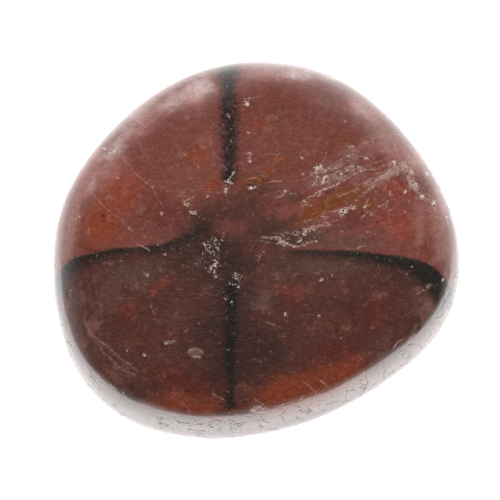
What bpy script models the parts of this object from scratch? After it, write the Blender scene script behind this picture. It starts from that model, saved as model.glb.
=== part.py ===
"""A tumbled chiastolite pebble: one polished stone that rests on a small flat spot.

The stone is an andalusite crystal rounded and polished in a tumbler. It is a
low pebble with a rounded four-cornered outline, a broad gently domed crown, a
rounder belly, and a few soft flats where the rough stone had its faces.

Frame: metres, +Z up. The flat spot lies in the plane z = 0, and the origin is
under the middle of the stone's box. +X is the stone's longest extent.
"""
import bmesh
import bpy
import numpy as np

MM = 0.001

# The outline seen from above, at the widest level: the distance from the middle
# to the edge every 20 degrees, anticlockwise from +X.
OUTLINE_RADII = MM * np.array([
    14.0, 13.3, 13.0, 13.2, 13.2, 13.1, 13.0, 13.0, 13.4,
    14.0, 14.6, 15.2, 14.5, 13.4, 12.8, 12.9, 13.4, 14.2,
])

# How high the widest level lies above the middle, every 45 degrees: high at the
# back and sides, where the crown is shallow, and low at the front, where it is full.
RIM_LEVELS = MM * np.array([3.1, 2.7, 2.6, 2.9, 3.0, 0.7, 0.4, 0.3])

# How far the crown rises above the middle, and the belly drops below it, before
# the flats are worn in.
CROWN_HEIGHT = 7.4 * MM
BELLY_DEPTH = 5.7 * MM

# The flat spot: how much of the lowest bulge is worn away. Points this close to
# its plane are put on it, so that the cut leaves no splinters.
SPOT_DEPTH = 0.27 * MM
SPOT_SNAP = 0.02 * MM

# Soft flats: direction the flat faces (degrees round from +X, degrees up), how deep
# it is worn in, and the width over which its edge rounds off.
FLATS = (
    (60.0, 84.0, 0.45 * MM, 0.50 * MM),
    (108.0, 60.0, 0.18 * MM, 0.20 * MM),
    (52.0, 58.0, 0.18 * MM, 0.20 * MM),
    (150.0, 60.0, 0.12 * MM, 0.20 * MM),
    (204.0, 50.0, 0.12 * MM, 0.15 * MM),
    (130.0, -38.0, 0.40 * MM, 0.80 * MM),
    (300.0, -34.0, 0.40 * MM, 0.80 * MM),
)

# Five subdivisions give faces about 0.9 mm long, 5120 of them.
SPHERE_SUBDIVISIONS = 5

# Only the flat spot's edge bends by more than this, in degrees: it stays sharp.
SPOT_EDGE_ANGLE = 14.0

# Polished andalusite, rose-brown.
STONE_COLOUR = (0.17, 0.060, 0.045, 1.0)
STONE_ROUGHNESS = 0.12


def round_the_stone(values, angle):
    """A value at an angle round the stone: the smoothest sum of waves round the
    circle that passes through the given evenly spaced values."""
    count = len(values)
    waves = np.fft.rfft(values) / count
    waves[1:-1] *= 2.0
    turns = np.arange(len(waves))
    return (waves * np.exp(1j * np.multiply.outer(angle, turns))).real.sum(axis=-1)


def worn_flat(points, around, up, wear, softness):
    """Points pushed in to a soft flat that is worn this deep. A point that stands
    past the flat by t moves in by softness * ln(1 + exp(t / softness)), so the
    flat's edge is round."""
    around, up = np.radians(around), np.radians(up)
    facing = np.array([np.cos(up) * np.cos(around), np.cos(up) * np.sin(around), np.sin(up)])
    reach = points @ facing
    beyond = reach - (reach.max() - wear)
    return points - np.outer(softness * np.logaddexp(0.0, beyond / softness), facing)


def pebble_surface(directions):
    """Points of the pebble for unit directions (x, y, z): the outline's radius
    times the direction's level part, and the rim's level plus the direction's
    upright part times what is left of the crown's height or the belly's depth
    from there, and then the flats."""
    x, y, z = directions.T
    around = np.arctan2(y, x)
    radius = round_the_stone(OUTLINE_RADII, around)
    level = round_the_stone(RIM_LEVELS, around)
    rise = np.where(z > 0.0, CROWN_HEIGHT - level, BELLY_DEPTH + level)
    points = np.column_stack([radius * x, radius * y, level + rise * z])
    for flat in FLATS:
        points = worn_flat(points, *flat)
    return points


def stand_on_spot(points):
    """Points moved so that the box's middle is over the origin and the belly
    reaches SPOT_DEPTH below z = 0."""
    low, high = points.min(axis=0), points.max(axis=0)
    middle = (low + high) / 2.0
    return points - [middle[0], middle[1], low[2] + SPOT_DEPTH]


def polished_stone():
    """The material: a glossy rose-brown stone."""
    material = bpy.data.materials.new("polished_andalusite")
    material.use_nodes = True
    shader = material.node_tree.nodes["Principled BSDF"]
    shader.inputs["Base Color"].default_value = STONE_COLOUR
    shader.inputs["Roughness"].default_value = STONE_ROUGHNESS
    shader.inputs["Metallic"].default_value = 0.0
    return material


def make_pebble(collection):
    """The pebble: an icosphere whose points are moved to the pebble's surface,
    cut flat at z = 0 for the spot it rests on."""
    bpy.ops.mesh.primitive_ico_sphere_add(subdivisions=SPHERE_SUBDIVISIONS, radius=1.0)
    pebble = bpy.context.object
    pebble.name = "pebble"
    mesh = pebble.data
    mesh.name = "pebble"

    directions = np.empty(len(mesh.vertices) * 3)
    mesh.vertices.foreach_get("co", directions)
    directions = directions.reshape(-1, 3)
    directions /= np.linalg.norm(directions, axis=1, keepdims=True)
    points = stand_on_spot(pebble_surface(directions))
    points[np.abs(points[:, 2]) < SPOT_SNAP, 2] = 0.0
    mesh.vertices.foreach_set("co", points.ravel())

    form = bmesh.new()
    form.from_mesh(mesh)
    everything = form.verts[:] + form.edges[:] + form.faces[:]
    cut = bmesh.ops.bisect_plane(
        form, geom=everything, dist=1e-8, plane_co=(0, 0, 0), plane_no=(0, 0, 1), clear_inner=True
    )
    rim = [piece for piece in cut["geom_cut"] if isinstance(piece, bmesh.types.BMEdge)]
    bmesh.ops.contextual_create(form, geom=rim)
    bmesh.ops.recalc_face_normals(form, faces=form.faces[:])
    form.to_mesh(mesh)
    form.free()

    mesh.shade_smooth()
    mesh.set_sharp_from_angle(angle=np.radians(SPOT_EDGE_ANGLE))
    mesh.materials.append(polished_stone())
    for home in pebble.users_collection:
        home.objects.unlink(pebble)
    collection.objects.link(pebble)
    return pebble


for leftover in list(bpy.data.objects):
    bpy.data.objects.remove(leftover, do_unlink=True)

stone_collection = bpy.data.collections.new("tumbled_chiastolite")
bpy.context.scene.collection.children.link(stone_collection)
make_pebble(stone_collection)
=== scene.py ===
# %% [markdown]
# # A tumbled chiastolite pebble
#
# Chiastolite is andalusite that grew with graphite caught along its corners, so
# that a cut or worn crystal shows a dark cross. This one has been rolled in a
# tumbler until it is a glossy pebble, 28 mm across. The lesson builds its polished
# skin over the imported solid, and then the mineral that one sees through that skin.

import bpy
import numpy as np
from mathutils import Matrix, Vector


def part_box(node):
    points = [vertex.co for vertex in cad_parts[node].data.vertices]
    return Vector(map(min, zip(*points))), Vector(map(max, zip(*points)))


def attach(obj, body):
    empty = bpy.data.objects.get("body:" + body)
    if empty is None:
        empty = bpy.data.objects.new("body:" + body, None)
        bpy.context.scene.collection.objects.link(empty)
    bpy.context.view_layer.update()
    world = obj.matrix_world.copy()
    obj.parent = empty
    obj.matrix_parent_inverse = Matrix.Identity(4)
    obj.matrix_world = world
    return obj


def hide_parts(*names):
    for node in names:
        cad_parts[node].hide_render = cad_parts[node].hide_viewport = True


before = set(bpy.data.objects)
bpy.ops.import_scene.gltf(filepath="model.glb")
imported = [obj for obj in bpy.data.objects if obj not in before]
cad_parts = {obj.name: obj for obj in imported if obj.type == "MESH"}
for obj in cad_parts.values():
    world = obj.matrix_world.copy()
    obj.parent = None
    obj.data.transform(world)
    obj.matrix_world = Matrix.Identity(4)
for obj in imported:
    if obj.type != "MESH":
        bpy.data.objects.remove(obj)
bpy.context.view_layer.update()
MM = 0.001
box_low, box_high = (np.array(corner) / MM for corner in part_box("pebble"))
print("solid, mm:", box_low.round(2), box_high.round(2))

# %% [markdown]
# ## The camera
#
# The photo looks down on the stone from a little in front of it. A camera could be
# posed by eye, but placing it by real distances keeps one scale for everything: the
# frame is 34.9 mm wide at the stone, so a pixel is 0.07 mm. Because the camera is
# known before the stone is made, marks can be placed where the photo shows them.

# %% Place the camera
PHOTO_PIXELS = 500
FRAME_WIDTH = 34.9                      # mm across the picture at the stone
CAMERA_DISTANCE = 260.0                 # mm from the stone's middle
CAMERA_ELEVATION = np.radians(78.0)
LOOK_AT = np.array([-0.435, 0.16, 5.83])  # mm
SENSOR = 36.0
PIXEL = FRAME_WIDTH / PHOTO_PIXELS      # mm

cam_forward = np.array([0.0, np.cos(CAMERA_ELEVATION), -np.sin(CAMERA_ELEVATION)])
cam_up = np.array([0.0, np.sin(CAMERA_ELEVATION), np.cos(CAMERA_ELEVATION)])
cam_right = np.array([1.0, 0.0, 0.0])
cam_place = LOOK_AT - CAMERA_DISTANCE * cam_forward

camera = bpy.data.objects.new("camera", bpy.data.cameras.new("camera"))
camera.data.sensor_width = SENSOR
camera.data.lens = SENSOR * CAMERA_DISTANCE / FRAME_WIDTH
camera.data.clip_start = 10 * MM
camera.data.clip_end = 5.0              # m, well past the table
camera.location = Vector(cam_place * MM)
camera.rotation_euler = (np.pi / 2 - CAMERA_ELEVATION, 0.0, 0.0)
bpy.context.scene.collection.objects.link(camera)
bpy.context.scene.camera = camera


def photo_pixels(points):
    """Where points (mm) land in the photo: across and down from its corner, as the
    distance right and up over the distance forward, scaled to pixels."""
    reach = points - cam_place
    scale = CAMERA_DISTANCE / (reach @ cam_forward) / PIXEL
    across = PHOTO_PIXELS / 2 + reach @ cam_right * scale
    down = PHOTO_PIXELS / 2 - reach @ cam_up * scale
    return np.column_stack([across, down])


print("lens, mm:", round(camera.data.lens, 1))

# %% [markdown]
# ## The form
#
# Tumbling wears a broken crystal into a low pebble: a rounded outline, a broad
# crown, a full belly, and soft flats where faces were. It could be sculpted, but
# a formula gives an even, clean surface. Each direction from the middle is a point:
# the outline's radius for its level part, the crown's height or the belly's depth
# for its upright part, then the flats press the surface in.

# %% The outline and the flats
OUTLINE_RADII = np.array([              # mm, every 20 degrees
    14.0, 13.3, 13.0, 13.2, 13.2, 13.1, 13.0, 13.0, 13.4,
    14.0, 14.6, 15.2, 14.5, 13.4, 12.8, 12.9, 13.4, 14.2,
])
RIM_LEVELS = np.array([3.1, 2.7, 2.6, 2.9, 3.0, 0.7, 0.4, 0.3])  # mm up, every 45 degrees
CROWN_HEIGHT = 7.4                      # mm above the middle
BELLY_DEPTH = 5.7                       # mm below it
# direction faced (degrees round, degrees up), how deep it is worn, rounding
FLATS = (
    (60.0, 84.0, 0.45, 0.50),
    (108.0, 60.0, 0.18, 0.20),
    (52.0, 58.0, 0.18, 0.20),
    (150.0, 60.0, 0.12, 0.20),
    (204.0, 50.0, 0.12, 0.15),
    (130.0, -38.0, 0.40, 0.80),
    (300.0, -34.0, 0.40, 0.80),
)


def round_the_stone(values, angle):
    """A value at an angle round the stone: the sum of waves round the circle that
    passes through the given evenly spaced values."""
    waves = np.fft.rfft(values) / len(values)
    waves[1:-1] *= 2.0
    return (waves * np.exp(1j * np.multiply.outer(angle, np.arange(len(waves))))).real.sum(axis=-1)


def worn_flat(points, around, up, wear, softness):
    """A point standing past the flat by t moves in by softness * ln(1 + e^(t / softness))."""
    around, up = np.radians(around), np.radians(up)
    facing = np.array([np.cos(up) * np.cos(around), np.cos(up) * np.sin(around), np.sin(up)])
    reach = points @ facing
    beyond = reach - (reach.max() - wear)
    return points - np.outer(softness * np.logaddexp(0.0, beyond / softness), facing)


def pebble_surface(directions):
    """Radius times the level part, and the rim's level plus the upright part times
    what is left of the crown's height or the belly's depth, then the flats."""
    x, y, z = directions.T
    around = np.arctan2(y, x)
    radius = round_the_stone(OUTLINE_RADII, around)
    level = round_the_stone(RIM_LEVELS, around)
    rise = np.where(z > 0.0, CROWN_HEIGHT - level, BELLY_DEPTH + level)
    points = np.column_stack([radius * x, radius * y, level + rise * z])
    for flat in FLATS:
        points = worn_flat(points, *flat)
    return points


print("widest and narrowest radius, mm:", OUTLINE_RADII.max(), OUTLINE_RADII.min())

# %% [markdown]
# The surface needs even, small cells all over, for pits a few tenths of a
# millimetre wide. A globe's grid would crowd at its poles, in the middle of the
# cross. Six square grids, as on a blown-up cube, have cells of nearly one size.

# %% The six grids
CELLS = 128


def cube_grid(cells):
    """Unit directions and quads of six grids. A grid point at angles a, b from a
    face's middle looks along (1, tan a, tan b), and the faces turn that round."""
    angle = np.tan(np.linspace(-np.pi / 4, np.pi / 4, cells + 1))
    a, b = np.meshgrid(angle, angle, indexing="ij")
    one = np.ones_like(a)
    faces = [(one, a, b), (-one, -a, b), (-a, one, b), (a, -one, b), (-b, a, one), (b, a, -one)]
    grids = np.stack([np.stack(face, axis=-1) for face in faces])
    grids /= np.linalg.norm(grids, axis=-1, keepdims=True)
    flat = grids.reshape(-1, 3)
    _, first, place = np.unique(flat.round(6), axis=0, return_index=True, return_inverse=True)
    place = place.reshape(6, cells + 1, cells + 1)
    quads = np.stack([place[:, :-1, :-1], place[:, 1:, :-1], place[:, 1:, 1:], place[:, :-1, 1:]], axis=-1)
    return flat[first], quads.reshape(-1, 4)


directions, quads = cube_grid(CELLS)
points = pebble_surface(directions)
lowest, highest = points.min(axis=0), points.max(axis=0)
lift = box_high - highest
lift[:2] = ((box_low + box_high) / 2 - (lowest + highest) / 2)[:2]
points += lift
print("points:", len(points), "triangles:", 2 * len(quads))


def unit_normals(points):
    """At each point, the sum of the cross products of its quads' diagonals."""
    corner = points[quads]
    cross = np.cross(corner[:, 2] - corner[:, 0], corner[:, 3] - corner[:, 1])
    total = np.zeros_like(points)
    for k in range(4):
        np.add.at(total, quads[:, k], cross)
    return total / np.linalg.norm(total, axis=1, keepdims=True)


normals = unit_normals(points)

# %% [markdown]
# ## Placing marks
#
# Every mark below is named and given where the photo shows it, in pixels. For that
# the script works out where each point of the skin lands in the photo and how deep
# it lies, so that a mark reaches only the side that the photo shows.

# %% Where the points land
MARK_DEPTH = 3.0                        # mm
seen = photo_pixels(points)
depth = (points - cam_place) @ cam_forward
facing_away = (normals * (points - cam_place)).sum(axis=1) / CAMERA_DISTANCE


def ramp(value, start, end):
    """0 at start and 1 at end, as 3t^2 - 2t^3 between."""
    t = np.clip((value - start) / (end - start), 0.0, 1.0)
    return t * t * (3.0 - 2.0 * t)


def on_stone(across, down):
    """The number of the skin's point that the photo shows at a pixel."""
    miss = np.hypot(seen[:, 0] - across, seen[:, 1] - down)
    return np.where(facing_away < 0.0, miss, np.inf).argmin()


def same_side(across, down):
    """1 at the depth that the photo shows at a pixel, falling to 0 over a few mm."""
    return np.exp(-(((depth - depth[on_stone(across, down)]) / MARK_DEPTH) ** 4))


def patch(across, down, half_width, half_height, tilt=0.0, strength=1.0):
    """An ellipse with soft edges: strength * e^-(u^2 + v^2), with u and v the steps
    along and across it over its half width and half height."""
    right, up = seen[:, 0] - across, down - seen[:, 1]
    turn = np.radians(tilt)
    along = (np.cos(turn) * right + np.sin(turn) * up) / half_width
    over = (np.cos(turn) * up - np.sin(turn) * right) / half_height
    return strength * np.exp(-(along**2) - over**2) * same_side(across, down)


def all_rows(table):
    """Every row of a table whose rows are grouped by where they lie."""
    return [row for rows in table.values() for row in rows]


def all_patches(table):
    """Patches laid over each other: 1 minus the product of what each leaves bare."""
    bare = np.ones(len(points))
    for place in all_rows(table):
        bare *= 1.0 - patch(*place)
    return 1.0 - bare


print("points that the photo shows:", int((facing_away < 0.0).sum()))

# %% [markdown]
# ## The graphite sheets
#
# The cross is two sheets of graphite that stand in the crystal, so each cuts the
# skin all the way round, on the sides and the belly too. They could be painted as
# four strokes, but as sheets they bend over the rim as real ones do. The level
# sheet leans: it goes down towards the viewer, and the stone above it is painted
# darker, as painted shade that the sheet casts inside the stone.

# %% The sheets
SHEET_LEAN = 0.35                       # mm towards the viewer for each mm down
LEVEL_UPPER_EDGE = [
    (58, 276), (64, 266), (75, 259), (92, 253.5), (110, 249.5), (136, 247), (164, 243), (178, 237),
    (192, 229), (205, 222), (230, 240), (262, 251), (282, 250), (326, 249.5), (357, 251), (384, 255),
    (417, 260.5), (430, 266), (443, 276), (451, 286),
]
LEVEL_LOWER_EDGE = [
    (62, 292), (68, 282), (77, 271), (92, 262), (110, 256), (136, 252.5), (150, 255), (164, 252),
    (178, 249), (192, 243), (205, 237), (230, 245), (262, 253), (282, 253), (326, 255), (357, 260),
    (384, 266), (411, 277), (424, 287), (436, 300), (447, 306),
]
UPRIGHT_LEFT_EDGE = [
    (217, 66), (219.5, 80), (221, 102), (220.5, 115), (222, 135), (222, 149), (223.5, 162), (222, 175),
    (222, 190), (224, 240), (226, 300), (224, 333), (226, 360), (227, 387), (225, 404), (229.5, 412),
    (230, 430),
]
UPRIGHT_RIGHT_EDGE = [
    (239, 66), (236.5, 80), (236, 102), (236.5, 115), (237, 135), (236.5, 149), (237, 162), (235.5, 175),
    (234, 190), (234, 240), (236.5, 300), (236.5, 333), (234.5, 360), (233.5, 387), (236, 404),
    (232.5, 412), (232, 430),
]
SHEET_EDGE = 0.10                       # mm, how sharply the level sheet ends above
SMEARED_EDGE = 0.45                     # mm, how it trails off into the stone below
UPRIGHT_EDGES = (0.32, 0.24)            # mm, how sharply the upper and the lower arm end
BLUR_ABOVE, BLUR_BELOW = 0.35, 0.4      # mm, how much wider both edges are at the blurred end
BLUR_BREAK = 0.4                        # edge widths that the blurred end takes off the sheet
LEVEL_BREAK, UPRIGHT_BREAK = 3.0, 4.0   # edge widths that the gaps take off

# where a stretch begins and ends, in mm right of the middle or behind it, each as a fade
LEVEL_GAP = ((-3.6, -2.4), (2.6, 1.2))
BLURRED_END = ((-7.6, -4.0), (-2.0, -3.0))
UPRIGHT_GAP = ((3.7, 2.9), (-3.6, -2.4))
LOWER_ARM = (0.5, -1.0)
SHADOW_END = (-12.0, -9.0)
UPPER_ARM = (2.5, 4.5)

# how far the painted shade beside each arm reaches, mm
LOWER_SHADOW_RIGHT, LOWER_SHADOW_LEFT, UPPER_SHADOW, LEVEL_SHADOW = 1.2, 1.9, 0.85, 1.3
UPPER_SHADE, LEVEL_SHADE = 0.45, 0.6    # how dark these two are, where the lower arm's is 1


def sheet_line(trace, across, lean=0.0):
    """Where a trace runs on the skin: the coordinate numbered across, and the other
    one, moved up the leaning sheet to the height of the summit."""
    spots = points[[on_stone(*pixel) for pixel in trace]]
    other = spots[:, 1 - across] + lean * (box_high[2] - spots[:, 2])
    order = np.argsort(spots[:, across])
    return spots[order, across], other[order]


def stretch(value, beginning, end):
    """1 between two fades, and 0 outside them."""
    return ramp(value, *beginning) * ramp(value, *end)


def falloff(distance, reach):
    """e^-(distance / reach)^2."""
    return np.exp(-((distance / reach) ** 2))


x, y, z = points.T
level_y = y + SHEET_LEAN * (box_high[2] - z)
upper = np.interp(x, *sheet_line(LEVEL_UPPER_EDGE, 0, SHEET_LEAN))
lower = np.interp(x, *sheet_line(LEVEL_LOWER_EDGE, 0, SHEET_LEAN))
left = np.interp(y, *sheet_line(UPRIGHT_LEFT_EDGE, 1))
right = np.interp(y, *sheet_line(UPRIGHT_RIGHT_EDGE, 1))

under = upper - level_y                 # mm below the level sheet's upper edge
level_gap = stretch(x, *LEVEL_GAP)
blurred_end = stretch(x, *BLURRED_END)
upper_edge = SHEET_EDGE + BLUR_ABOVE * blurred_end
lower_edge = SMEARED_EDGE + BLUR_BELOW * blurred_end
level_sheet = np.minimum(under / upper_edge, (level_y - lower) / lower_edge)
level_sheet = level_sheet - LEVEL_BREAK * level_gap - BLUR_BREAK * blurred_end

lower_arm = ramp(y, *LOWER_ARM)
upright_edge = UPRIGHT_EDGES[0] + (UPRIGHT_EDGES[1] - UPRIGHT_EDGES[0]) * lower_arm
upright_sheet = np.minimum(x - left, right - x) / upright_edge
upright_sheet -= UPRIGHT_BREAK * stretch(y, *UPRIGHT_GAP)

# painted shade: the shadows beside the arms and under the level sheet, and the darker stone below the level
# sheet
off_upright = np.abs(x - (left + right) / 2)
reach = np.where(x < 0, LOWER_SHADOW_LEFT, LOWER_SHADOW_RIGHT)
arm_shadow = lower_arm * falloff(off_upright, reach) * ramp(y, *SHADOW_END)
upper_shadow = UPPER_SHADE * falloff(off_upright, UPPER_SHADOW) * ramp(y, *UPPER_ARM)
level_shadow = ramp(under, -0.2, 0.25) * np.exp(-under.clip(0.0) / LEVEL_SHADOW) * (1.0 - level_gap)
shade_below_sheet = ramp(under, -0.1 - 1.2 * level_gap, 0.3 + 1.2 * level_gap)
print("level sheet covers", round(float((level_sheet > 0).mean()), 3), "of the skin")

# %% [markdown]
# ## The colour zones
#
# Iron stains the mineral from rose to rust and amber, and the zones lie where it
# grew. A noise pattern alone would make a stone of this kind, but not this one, so
# the main zones are placed, and noise breaks their edges later, in the material.
# Some zones are painted light: the rosy and milky patches near the rim are painted
# highlights, and the ember patches along the front edge are a painted glow.
# The arms of the cross part the stone in four, and each zone is a few patches in
# these quarters. A patch is where it lies and its half width and half height in
# pixels, its tilt in degrees and its strength.

# %% The zones
ZONE_PLACES = {
    "rosy_and_sheen": {                           # pinkish stone between the zones; near the rim, painted highlights, and painted light where the flank is shaded
        "upper left": [
            (196, 95, 24, 13, 20, 1.0), (140, 124, 32, 12, 42, 0.95), (104, 166, 16, 20, 30, 0.8),
            (72, 225, 6, 40, -10, 0.9), (86, 186, 10, 26, -22, 0.8), (205, 140, 10, 14, 0, 0.3),
            (128, 166, 20, 11, 40, 0.25),
        ],
        "upper right": [
            (272, 76, 40, 7, -3, 0.6), (370, 113, 26, 12, -38, 1.0), (398, 148, 24, 14, -45, 0.9),
            (364, 147, 18, 9, 20, 0.5), (258, 73, 16, 4, -3, 0.6), (438, 215, 9, 32, 5, 1.0),
            (418, 160, 12, 18, 35, 0.8), (420, 212, 9, 20, 10, 0.7), (419, 238, 5, 18, 0, 0.6),
        ],
        "lower left": [(94, 326, 7, 22, -18, 0.4), (118, 380, 26, 6, -45, 0.45)],
        "lower right": [(441, 250, 8, 13, 0, 0.6), (426, 304, 10, 14, 20, 0.45)],
    },
    "milky_and_sheen": {                          # pale veils, and painted highlights near the rim
        "upper left": [
            (201, 87, 13, 11, 25, 0.88), (176, 102, 20, 8, 30, 0.6), (112, 151, 13, 7, 35, 0.6),
            (130, 131, 20, 7, 44, 0.45), (91, 184, 5, 22, -22, 0.3),
        ],
        "upper right": [
            (362, 110, 18, 8, -38, 0.45), (299, 76, 18, 5, -10, 0.6), (412, 158, 9, 6, -42, 0.4),
            (390, 174, 18, 4, 27, 0.4), (413, 184, 3, 14, 35, 0.4),
        ],
    },
    "plum": {                           # dull grey-plum haze below the level arms
        "upper left": [(160, 230, 26, 8, -8, 0.5)],
        "upper right": [
            (298, 236, 46, 11, 6, 1.0), (348, 243, 36, 7, -2, 1.0), (334, 172, 28, 11, 27, 0.6),
            (298, 118, 44, 26, 0, 0.3),
        ],
        "lower left": [
            (135, 274, 34, 13, 8, 0.9), (108, 300, 14, 18, 0, 0.8), (76, 300, 7, 26, -12, 0.9),
            (98, 345, 8, 22, -38, 0.7), (122, 372, 20, 9, -38, 0.6), (176, 318, 20, 9, 0, 0.5),
        ],
        "lower right": [
            (325, 266, 48, 9, -3, 0.9), (290, 272, 18, 12, 0, 0.5), (262, 298, 15, 16, 0, 0.8),
            (382, 342, 30, 8, 38, 0.7), (423, 302, 13, 18, 20, 1.0), (300, 340, 10, 20, 0, 0.4),
        ],
    },
    "maroon": {                         # deep red-brown
        "upper left": [(162, 212, 36, 24, 0, 0.6), (126, 188, 14, 10, 30, 0.4)],
        "upper right": [
            (284, 108, 40, 22, 0, 0.35), (352, 218, 36, 13, 10, 0.6), (306, 196, 14, 8, 25, 0.4),
        ],
        "lower left": [
            (176, 378, 36, 13, -16, 0.9), (122, 315, 22, 16, 0, 0.6), (205, 385, 26, 12, 0, 0.7),
            (145, 340, 26, 12, 0, 0.5),
        ],
        "lower right": [
            (292, 408, 16, 7, 5, 0.7), (290, 300, 16, 16, 0, 0.5), (370, 312, 34, 18, 20, 0.7),
            (330, 352, 40, 14, 22, 0.8),
        ],
    },
    "orange_and_glow": {                          # orange-brown stain, and a painted glow along the front edge
        "upper left": [
            (101, 225, 21, 25, 0, 1.0), (114, 194, 18, 19, 20, 0.75), (213, 184, 9, 9, 0, 0.8),
            (198, 156, 16, 16, 15, 0.5), (190, 208, 22, 9, 10, 0.35),
        ],
        "upper right": [(258, 122, 14, 14, 0, 0.45)],
        "lower left": [
            (186, 404, 42, 14, -8, 0.75), (163, 283, 16, 6, 42, 0.2), (130, 305, 18, 10, 20, 0.3),
        ],
        "lower right": [
            (308, 392, 60, 22, 14, 1.0), (284, 391, 20, 11, 5, 0.9), (342, 370, 26, 10, 24, 0.8),
            (247, 250, 12, 8, 0, 0.45),
        ],
    },
    "amber": {                          # clearer yellow-brown
        "upper left": [(196, 152, 15, 9, 0, 0.5)],
        "upper right": [
            (334, 201, 26, 9, 27, 1.0), (254, 183, 13, 6, 12, 1.0), (272, 168, 18, 4, 38, 0.7),
            (310, 215, 18, 7, 28, 1.0), (362, 190, 14, 5, 27, 0.7), (368, 205, 15, 8, 15, 0.65),
            (345, 137, 24, 9, 10, 0.45), (268, 203, 16, 8, 20, 0.45), (302, 201, 15, 8, 25, 0.5),
            (246, 247, 10, 8, 0, 0.3),
        ],
    },
    "red": {                            # iron red
        "upper left": [(124, 187, 20, 22, 20, 1.0), (88, 248, 10, 8, 20, 0.6)],
        "upper right": [(397, 190, 16, 14, 0, 0.8), (402, 226, 12, 16, 0, 1.0), (380, 220, 14, 8, 15, 0.6)],
        "lower left": [(162, 284, 14, 6, 42, 0.5), (186, 408, 40, 10, -8, 0.45)],
        "lower right": [(424, 255, 8, 10, 0, 0.5), (290, 290, 16, 11, 20, 0.4)],
    },
    "dark": {                           # brown smoke with graphite in it
        "upper left": [(226, 214, 30, 15, 5, 0.7), (199, 225, 20, 17, 35, 1.0)],
        "upper right": [
            (331, 96, 15, 8, -15, 0.3), (242, 200, 26, 14, 0, 0.4), (288, 240, 42, 9, 6, 0.85),
            (262, 232, 20, 13, 20, 0.75), (288, 222, 20, 7, 15, 0.5), (260, 188, 16, 14, 0, 0.55),
            (296, 198, 22, 12, 25, 0.5), (262, 214, 18, 14, 0, 0.3),
        ],
        "lower left": [
            (168, 350, 24, 12, 0, 0.4), (92, 251, 16, 7, -15, 0.5), (211, 254, 16, 18, 0, 0.7),
            (188, 262, 22, 16, 10, 0.7), (202, 335, 22, 24, 10, 0.7), (130, 387, 9, 5, -35, 0.6),
            (180, 292, 16, 9, 0, 0.35),
        ],
        "lower right": [
            (285, 268, 16, 10, 0, 0.4), (262, 262, 22, 10, 0, 0.35), (262, 345, 20, 26, 0, 0.9),
            (280, 352, 12, 14, 0, 0.5), (352, 308, 10, 14, 0, 0.4), (338, 271, 16, 7, -3, 0.3),
            (400, 282, 22, 6, -14, 0.5),
        ],
    },
    "veil": {                           # fine healed cracks, whitish
        "upper left": [(111, 152, 9, 4, 10, 0.7)],
        "upper right": [
            (338, 170, 32, 10, 26, 1.0), (318, 178, 12, 11, 0, 0.9), (352, 150, 26, 8, 20, 0.45),
            (378, 178, 26, 7, 30, 0.8), (402, 166, 12, 5, 0, 0.8), (288, 240, 32, 5, 6, 0.25),
            (318, 229, 26, 6, 20, 0.2), (352, 209, 24, 5, 15, 0.4), (285, 196, 10, 7, 35, 0.4),
            (384, 140, 20, 12, -36, 0.45), (428, 232, 7, 16, 0, 0.15),
        ],
        "lower right": [(256, 409, 11, 6, 5, 1.0), (240, 419, 7, 8, 0, 0.3)],
    },
    "sparkle": {                        # where bright specks, partly painted glints, crowd
        "upper left": [
            (190, 150, 30, 24, 0, 0.25), (176, 204, 44, 14, 0, 0.2), (210, 246, 15, 12, 45, 0.8),
            (190, 206, 22, 12, 10, 0.45), (111, 152, 9, 5, 10, 0.7), (81, 214, 6, 14, 0, 0.6),
            (183, 98, 22, 7, 20, 0.4),
        ],
        "upper right": [
            (338, 170, 38, 15, 27, 0.72), (317, 178, 13, 12, 0, 0.72), (390, 202, 34, 24, 0, 0.42),
            (328, 206, 32, 14, 22, 0.3), (380, 178, 24, 8, 27, 0.6), (412, 182, 12, 18, -60, 0.5),
            (346, 209, 26, 6, 15, 0.5), (288, 240, 36, 7, 8, 0.62), (312, 229, 24, 6, 20, 0.7),
            (229, 118, 6, 12, 0, 0.4), (228, 184, 7, 13, 0, 0.65), (249, 155, 6, 13, 0, 0.6),
            (246, 103, 8, 7, 0, 0.65), (312, 116, 26, 16, 0, 0.35),
        ],
        "lower left": [(214, 268, 8, 12, 0, 0.8), (148, 274, 10, 6, 30, 0.5), (168, 342, 9, 5, 10, 0.5)],
        "lower right": [
            (236, 279, 10, 8, 0, 0.6), (258, 410, 10, 5, 5, 1.0), (275, 322, 10, 6, -20, 0.3),
            (262, 258, 14, 8, 0, 0.45),
        ],
    },
}


def hidden_patches(count, seed, size, strength):
    """More patches on the sides that the photo doesn't show, round seeded middles:
    strength * e^-(distance / size)^2."""
    random = np.random.default_rng(seed)
    hidden = np.flatnonzero(facing_away > 0.05)
    bare = np.ones(len(points))
    for middle in points[random.choice(hidden, count)]:
        distance = np.linalg.norm(points - middle, axis=1)
        bare *= 1.0 - strength * falloff(distance, random.uniform(0.6 * size, 1.4 * size))
    return 1.0 - bare


HIDDEN = {                              # count, seed, size in mm, strength
    "rosy_and_sheen": (14, 1, 2.6, 0.6), "plum": (10, 2, 2.4, 0.6), "maroon": (10, 4, 2.6, 0.6),
    "orange_and_glow": (14, 3, 2.2, 0.8), "amber": (10, 5, 1.5, 0.7), "red": (14, 7, 2.0, 0.6),
    "milky_and_sheen": (6, 17, 1.4, 0.6), "dark": (12, 9, 2.0, 0.5), "veil": (10, 13, 1.4, 0.7),
    "sparkle": (14, 15, 1.5, 0.8),
}
zones = {}
for name, table in ZONE_PLACES.items():
    zones[name] = np.maximum(all_patches(table), hidden_patches(*HIDDEN[name]))
    print(name, "covers", round(float((zones[name] > 0.5).mean()), 3))

# %% [markdown]
# ## Scratches, veins and glints
#
# The polish has left fine scratches, and healed cracks catch the light as pale
# veins and bright points. They are thinner than the mesh's cells, so the mesh keeps
# how far each point lies from the nearest one, and the material draws it sharp.
# Each line is its half width in mm, its strength and then its corners.

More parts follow.
